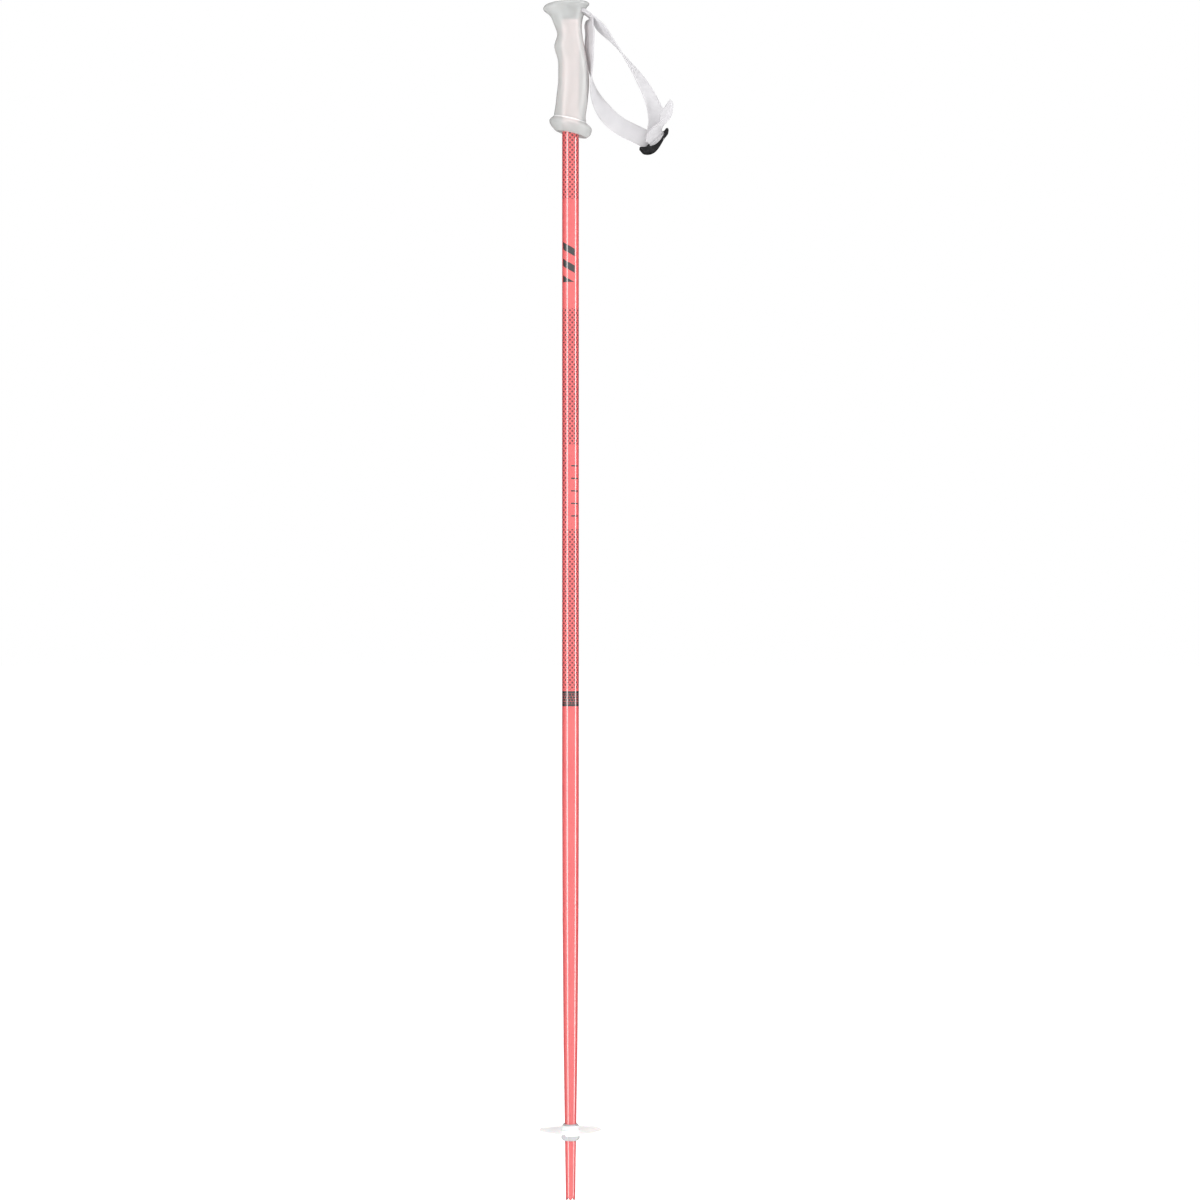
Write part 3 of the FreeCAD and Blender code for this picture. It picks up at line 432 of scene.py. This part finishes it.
# strap: one strip of webbing, laid along its run; millimetres, x z from the shaft's axis and tip
strap = {
    "width": 17.0,
    "thickness": 1.6,
    "edgeRound": 0.75,
    "pin": (3.0, 1140.2),
    "pinLoop": 2.85,
    "pinAngles": (-60, -90, -135, -180, -225, -270, -300),
    "pinStop": (4.4, 0.9),
    # stops inside the head: below and above the slot's middle, then out along the neck
    "slotUnder": (-1.0, -3.4),
    "slotOver": (-3.4, -0.6),
    "neckUnder": (4.6, 2.0),
    "neckOver": (2.4, 4.8),
    "headStep": 0.45,
    "mouth": (13.3, 1140.2),
    "fall": 35.0,
    "neckEnd": 7.4,
    "upperLead": (21.6, 1133.95),
    "upperLeadTurn": -6.0,
    "lowerLead": (19.3, 1133.6),
    "lowerLeadTurn": -13.0,
    "hingeRun": 8.45,
    "rod": (81.0, 1016.6),
    "lean": 41.0,
    "leastSquareness": 0.82,
    # x, y, z and turn: 0 has the width across the pole, 90 flat to the side
    "upper": [(28.4, 0.0, 1125.6, -21), (37.6, 0.0, 1115.4, -9), (49.9, 0.4, 1099.7, 7),
              (62.4, 0.8, 1082.4, 26), (72.9, 0.9, 1065.1, 43), (80.8, 0.6, 1047.0, 60),
              (82.6, 0.2, 1034.0, 78)],
    "lower": [(17.9, 0.0, 1129.4, -26), (18.3, 0.0, 1123.0, -29), (18.0, 0.0, 1106.0, -30),
              (19.3, 0.0, 1090.0, -17), (20.1, 0.0, 1077.6, 0), (23.4, 0.8, 1061.5, 30),
              (31.6, 2.0, 1046.0, 65), (43.0, 3.2, 1034.0, 82), (60.0, 3.9, 1024.4, 90)],
    "tail": [(87.4, -6.8, 1033.0, -62), (90.0, -8.6, 1047.5, -62)],
    "upperShift": 2.6,
    "lowerShift": -3.2,
    "tailShift": 1.6,
    "tab": 7.0,
    "tabInset": 1.2,
    "tabOver": 0.1,
    "eyeStop": 4.4,
    "eyeNeck": (3.0, 1.15),
    "eyeAngles": (58, 303, 16),
    "driftReach": 7.0,
    "sewnRadius": 2.18,
    "turnRadius": 3.91,
    "turnSteps": 16,
    "tailLead": (0.15, 1.55),
    "tailCut": 56.0,
}
across = np.array((0.0, 1.0, 0.0))


def unitAt(degrees):
    a = math.radians(degrees)
    return np.array((math.cos(a), 0.0, math.sin(a)))


def unit(vector):
    return vector / np.linalg.norm(vector)


down = unitAt(-strap["fall"])
outOfNeck = unitAt(90 - strap["fall"])
mouth = np.array((strap["mouth"][0], 0.0, strap["mouth"][1]))
rod = np.array((strap["rod"][0], 0.0, strap["rod"][1]))
longways = unitAt(strap["lean"])
inward = unitAt(strap["lean"] - 90)


def smoothRun(knots, values, places):
    # a cubic through every value, its end slopes taken from the first and last four
    knots, values = np.array(knots, float), np.array(values, float)
    count = len(knots)
    reach = min(4, count)
    firstSlope = np.polyval(np.polyder(np.polyfit(knots[:reach], values[:reach], reach - 1)), knots[0])
    lastSlope = np.polyval(np.polyder(np.polyfit(knots[-reach:], values[-reach:], reach - 1)), knots[-1])
    gaps = np.diff(knots)
    system, right = np.eye(count), np.zeros(count)
    right[0], right[-1] = firstSlope, lastSlope
    for k in range(1, count - 1):
        a, b = gaps[k - 1], gaps[k]
        system[k, k - 1], system[k, k], system[k, k + 1] = 1 / a, 2 / a + 2 / b, 1 / b
        right[k] = 3 * ((values[k] - values[k - 1]) / a ** 2 + (values[k + 1] - values[k]) / b ** 2)
    slopes = np.linalg.solve(system, right)
    out = []
    for place in places:
        k = int(np.clip(np.searchsorted(knots, place) - 1, 0, count - 2))
        t, g = (place - knots[k]) / gaps[k], gaps[k]
        out.append(values[k] * (1 + 2 * t) * (1 - t) ** 2 + slopes[k] * g * t * (1 - t) ** 2
                   + values[k + 1] * t * t * (3 - 2 * t) + slopes[k + 1] * g * t * t * (t - 1))
    return np.array(out)


def layRun(points, turns, startEdge=None, endEdge=None, endAlong=None, share=0.25, step=0.8):
    points = np.array(points, float)
    knots = np.concatenate(([0.0], np.cumsum(np.linalg.norm(np.diff(points, axis=0), axis=1))))
    count = max(4, int(round(knots[-1] / step)))
    places = np.linspace(0.0, knots[-1], count + 1)
    line = np.stack([smoothRun(knots, points[:, k], places) for k in range(3)], axis=1)
    angles = np.radians(smoothRun(knots, turns, places))
    slopes = np.gradient(line, places, axis=0)
    frames = []
    for k, centre in enumerate(line):
        along = unit(slopes[k])
        if endAlong is not None and k == count:
            along = endAlong
        side = unit(np.cross(along, across))
        edge = across * math.cos(angles[k]) + side * math.sin(angles[k])
        travel = places[k] / knots[-1]
        for wanted, nearness in ((startEdge, 1 - travel / share), (endEdge, 1 - (1 - travel) / share)):
            if wanted is not None and nearness > 0:
                pull = nearness * nearness * (3 - 2 * nearness)
                edge = unit(edge * (1 - pull) + wanted * pull)
        square = max(math.sqrt(max(0.0, 1 - float(edge @ along) ** 2)), strap["leastSquareness"])
        frames.append((centre, edge / square, unit(np.cross(along, edge))))
    return frames


def weaveStrip(name, frames, material):
    # a strip of webbing with round edges through every frame; its UV map is in millimetres
    half, thick = strap["width"] / 2, strap["thickness"] / 2
    rim = strap["edgeRound"] / half
    stops = [-1 + rim * (1 - math.cos(math.pi / 2 * k / 4)) for k in range(5)]
    stops += list(np.linspace(stops[-1], -stops[-1], 12)[1:-1]) + [-s for s in reversed(stops)]
    profile = []
    for a in stops:
        inset = max(0.0, abs(a) - (1 - rim)) / rim
        profile.append((a, math.sqrt(max(0.0, 1 - inset * inset))))
    ring = [(a, t) for a, t in profile] + [(a, -t) for a, t in reversed(profile[1:-1])]
    points, faces, spots = [], [], []
    run, last = 0.0, None
    for centre, edge, skin in frames:
        run += 0.0 if last is None else float(np.linalg.norm(centre - last))
        last = centre
        for a, t in ring:
            points.append(tuple((centre + edge * (half * a) + skin * (thick * t)) * mm))
            spots.append((a * half, run))
    size = len(ring)
    for k in range(len(frames) - 1):
        for j in range(size):
            i = (j + 1) % size
            faces.append((k * size + j, k * size + i, (k + 1) * size + i, (k + 1) * size + j))
    faces.append(tuple(reversed(range(size))))
    faces.append(tuple(range((len(frames) - 1) * size, len(frames) * size)))
    mesh = bpy.data.meshes.new(name)
    mesh.from_pydata(points, [], faces)
    layer = mesh.uv_layers.new(name="weave")
    for loop in mesh.loops:
        layer.data[loop.index].uv = spots[loop.vertex_index]
    mesh.polygons.foreach_set("use_smooth", [True] * len(faces))
    mesh.materials.append(material)
    mesh.update()
    piece = bpy.data.objects.new(name, mesh)
    scene.collection.objects.link(piece)
    return piece, run


webbingFinish = {
    "light": (0.62, 0.608, 0.625, 1),
    # painted shade colour for the weave's low spots
    "paintedGrooveShade": (0.50, 0.485, 0.505, 1),
    "soil": (0.55, 0.54, 0.555, 1),
    "warpPitch": 0.85,    # millimetres across the strip
    "weftPitch": 0.62,    # millimetres along it
    "selvedge": 7.45,
}


def wovenPolyester():
    f = webbingFinish
    r = Recipe("wovenPolyester", Sheen_Weight=0.2, Sheen_Roughness=0.5, IOR=1.45)
    spot = r.node("UVMap")
    spot.uv_map = "weave"
    spot = r.node("SeparateXYZ", Vector=spot.outputs[0]).outputs
    warp = r.math("DIVIDE", spot[0], f["warpPitch"])
    yarn = r.math("SINE", r.math("MULTIPLY", r.math("FRACT", r.math("ADD", warp, 100.0)), math.pi))
    phase = r.math("MULTIPLY_ADD", r.math("FLOOR", warp), math.pi,
                   r.math("MULTIPLY", spot[1], math.pi / f["weftPitch"]))
    over = r.math("MULTIPLY_ADD", r.math("SINE", phase), 0.5, 0.5)
    weave = r.math("MULTIPLY", yarn, r.math("MULTIPLY_ADD", over, 0.6, 0.4))
    border = r.within(r.math("ABSOLUTE", spot[0]), f["selvedge"] - 0.22, f["selvedge"] + 0.02, 0.08)
    fibre = r.noise(2400.0, 4.0)
    height = r.math("MULTIPLY_ADD", fibre, 0.35, r.math("SUBTRACT", weave, r.math("MULTIPLY", border, 0.7)))
    cloth = r.mix(r.between(r.noise(55.0, 4.0), 0.0, 1.0), f["light"], f["soil"])
    # painted shade: the weave's low spots are darkened towards a shade colour
    grooveShadeMask = r.math("MULTIPLY", r.math("SUBTRACT", 1.0, r.smooth(height, 0.05, 0.75)), 0.22)
    r.color(r.mix(grooveShadeMask, cloth, f["paintedGrooveShade"]))
    r.roughness(r.between(fibre, 0.66, 0.86))
    r.bump(height, 0.30, 0.00010)
    return r


webbing = wovenPolyester().material
halfGap = strap["thickness"] / 2 + 0.02   # half the distance between two strips that lie together


def xz(x, z, y=0.0):
    return np.array((x, y, z))


# where the strip leaves the head: in along the slot, round the pin and out again
pinCentre = xz(*strap["pin"])
underNear, underDeep = strap["slotUnder"]
overDeep, overNear = strap["slotOver"]
pinAside, pinRise = strap["pinStop"]
under = [mouth + down * s - outOfNeck * halfGap for s in (strap["neckEnd"], *strap["neckUnder"])]
under += [mouth + xz(underNear, -halfGap), mouth + xz(underDeep, -halfGap),
          pinCentre + xz(pinAside, -pinRise)]
loopRound = [pinCentre + unitAt(angle) * strap["pinLoop"] for angle in strap["pinAngles"]]
over = [pinCentre + xz(pinAside, pinRise), mouth + xz(overDeep, halfGap), mouth + xz(overNear, halfGap)]
over += [mouth + down * s + outOfNeck * halfGap for s in (*strap["neckOver"], strap["neckEnd"])]
rootRun = under + loopRound + over
headFrames = layRun(rootRun, [0.0] * len(rootRun), step=strap["headStep"])
headLoop, _ = weaveStrip("webbingHeadLoop", headFrames, webbing)

# upper strand, its end folded round the buckle's rod and sewn back on itself
upperStart = [mouth + down * strap["neckEnd"] + outOfNeck * halfGap, xz(*strap["upperLead"])]
upperEnd = rod + longways * strap["upperShift"] - inward * strap["tab"]
stops = strap["upper"]
upperRun = upperStart + [xz(x, z, y) for x, y, z, _ in stops] + [upperEnd]
upperTurns = [0.0, strap["upperLeadTurn"]] + [turn for *_, turn in stops] + [90.0]
upperFrames = layRun(upperRun, upperTurns, endEdge=longways, endAlong=inward)
for k, (centre, edge, skin) in enumerate(upperFrames):
    near = max(0.0, 1 - float(np.linalg.norm(centre - upperEnd)) / strap["driftReach"])
    drift = -halfGap * near * near * (3 - 2 * near)
    upperFrames[k] = (centre + across * drift, edge, skin)
tabStop, eyeStop = strap["tab"] - strap["tabInset"], strap["eyeStop"]
narrow, spread = strap["eyeNeck"]
eye = [(tabStop, -halfGap), (eyeStop, -halfGap), (narrow, -spread)]
eye += [(strap["sewnRadius"] * math.cos(math.radians(a)), -strap["sewnRadius"] * math.sin(math.radians(a)))
        for a in range(*strap["eyeAngles"])]
eye += [(narrow, spread), (eyeStop, halfGap), (tabStop, halfGap),
        (strap["tab"] + strap["tabOver"], halfGap)]
eyeRun = [rod + longways * strap["upperShift"] - inward * h + across * v for h, v in eye]
slopes = [unit(b - a) for a, b in zip([upperEnd - across * halfGap] + eyeRun[:-1],
                                      eyeRun[1:] + eyeRun[-1:])]
slopes[-1] = -inward
upperFrames += [(p, longways, unit(np.cross(s, longways))) for p, s in zip(eyeRun, slopes)]
upperStrip, upperLength = weaveStrip("webbingUpper", upperFrames, webbing)

# lower strand, under the rod and out as the tail
lowerStart = [mouth + down * strap["neckEnd"] - outOfNeck * halfGap, xz(*strap["lowerLead"])]
stops = strap["lower"]
lowerEnd = rod + longways * strap["lowerShift"] + across * strap["turnRadius"]
lowerRun = lowerStart + [xz(x, z, y) for x, y, z, _ in stops] + [lowerEnd]
lowerTurns = [0.0, strap["lowerLeadTurn"]] + [turn for *_, turn in stops] + [90.0]
lowerFrames = layRun(lowerRun, lowerTurns, endEdge=longways, endAlong=inward)
for k in range(1, strap["turnSteps"]):
    a = math.pi * k / strap["turnSteps"]
    out = across * math.cos(a) + inward * math.sin(a)
    slide = strap["lowerShift"] + (strap["tailShift"] - strap["lowerShift"]) * k / strap["turnSteps"]
    lowerFrames.append((rod + longways * slide + out * strap["turnRadius"], longways, out))
leave, straight = strap["tailLead"]
tailStart = rod + longways * strap["tailShift"] - across * strap["turnRadius"] - inward * leave
stops = strap["tail"]
tailRun = [tailStart, tailStart - inward * straight] + [xz(x, z, y) for x, y, z, _ in stops]
tailTurns = [-90.0, -90.0] + [turn for *_, turn in stops]
lowerFrames += layRun(tailRun, tailTurns, startEdge=longways, endEdge=unitAt(strap["tailCut"]), share=1.0)
lowerStrip, lowerLength = weaveStrip("webbingLower", lowerFrames, webbing)
print("webbing laid: %.0f and %.0f mm" % (upperLength, lowerLength))


# bar tacks through the sewn end
threadFinish = {"light": (0.66, 0.65, 0.67, 1), "dark": (0.42, 0.41, 0.43, 1),
                "radius": 0.23, "rows": (1.9, 4.9), "zig": 1.1, "pitch": 0.95}


def sewingThread():
    r = Recipe("sewingThread", Sheen_Weight=0.2, IOR=1.45)
    ply = r.node("TexWave", Vector=r.node("TexCoord").outputs["Object"], Scale=900.0, Distortion=1.5)
    r.color(r.mix(ply.outputs["Fac"], threadFinish["dark"], threadFinish["light"]))
    r.roughness(r.between(r.noise(1800.0), 0.5, 0.75))
    r.bump(ply.outputs["Fac"], 0.4, 0.00005)
    return r.material


def sewThreads():
    points, faces = [], []
    f = threadFinish

    def stitch(start, end, outward):
        along = unit(end - start)
        sideways = unit(np.cross(along, outward))
        base = len(points)
        for travel, swell in ((0.0, 0.35), (0.15, 0.9), (0.5, 1.0), (0.85, 0.9), (1.0, 0.35)):
            centre = start + (end - start) * travel - outward * (0.16 * (1 - swell))
            for k in range(8):
                a = 2 * math.pi * k / 8
                spoke = sideways * math.cos(a) + outward * math.sin(a)
                points.append(tuple((centre + spoke * f["radius"] * swell) * mm))
        for k in range(4):
            for j in range(8):
                i = (j + 1) % 8
                faces.append((base + k * 8 + j, base + k * 8 + i,
                              base + k * 8 + 8 + i, base + k * 8 + 8 + j))
        faces.append(tuple(base + j for j in reversed(range(8))))
        faces.append(tuple(base + 32 + j for j in range(8)))

    centre = rod + longways * strap["upperShift"]
    reach = strap["width"] / 2 - 1.9
    for face in (-1, 1):
        outward = across * face
        skin = outward * (halfGap + strap["thickness"] / 2 + 0.05)
        for row in f["rows"]:
            count = int(2 * reach / f["pitch"])
            for k in range(count):
                h = strap["tab"] - row
                a = -reach + 2 * reach * k / count
                b = -reach + 2 * reach * (k + 1) / count
                tilt = f["zig"] / 2 * (1 if k % 2 else -1)
                stitch(centre + longways * a - inward * (h - tilt) + skin,
                       centre + longways * b - inward * (h + tilt) + skin, outward)
    mesh = bpy.data.meshes.new("sewnThreads")
    mesh.from_pydata(points, [], faces)
    mesh.polygons.foreach_set("use_smooth", [True] * len(faces))
    mesh.materials.append(sewingThread())
    piece = bpy.data.objects.new("sewnThreads", mesh)
    scene.collection.objects.link(piece)
    return piece


threads = sewThreads()
print("end sewn")


# floor
floorMesh = bpy.data.meshes.new("studioFloor")
half, level = studio["floorHalfSize"], studio["floorHeight"]
corners = [(-half, -half, level), (half, -half, level), (half, half, level), (-half, half, level)]
floorMesh.from_pydata(corners, [], [(0, 1, 2, 3)])
floor = bpy.data.objects.new("studioFloor", floorMesh)
scene.collection.objects.link(floor)
paper = Recipe("palePaper", Roughness=0.9, Emission_Strength=studio["floorGlow"])
paper.shader.inputs["Emission Color"].default_value = (1, 1, 1, 1)
paper.color(paper.mix(paper.noise(3.0), studio["floorColor"], (0.9, 0.9, 0.9, 1)))
floorMesh.materials.append(paper.material)
floor.visible_glossy = False


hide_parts("strap_root", "strap_throat")
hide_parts("strap_upper_strand", "strap_sewn_end")
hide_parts("strap_lower_strand", "strap_turn", "strap_tail")
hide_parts("strap_stitches")
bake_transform(headLoop)
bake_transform(upperStrip)
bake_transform(lowerStrip)
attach(threads, "strap_loop")

print("pieces placed")
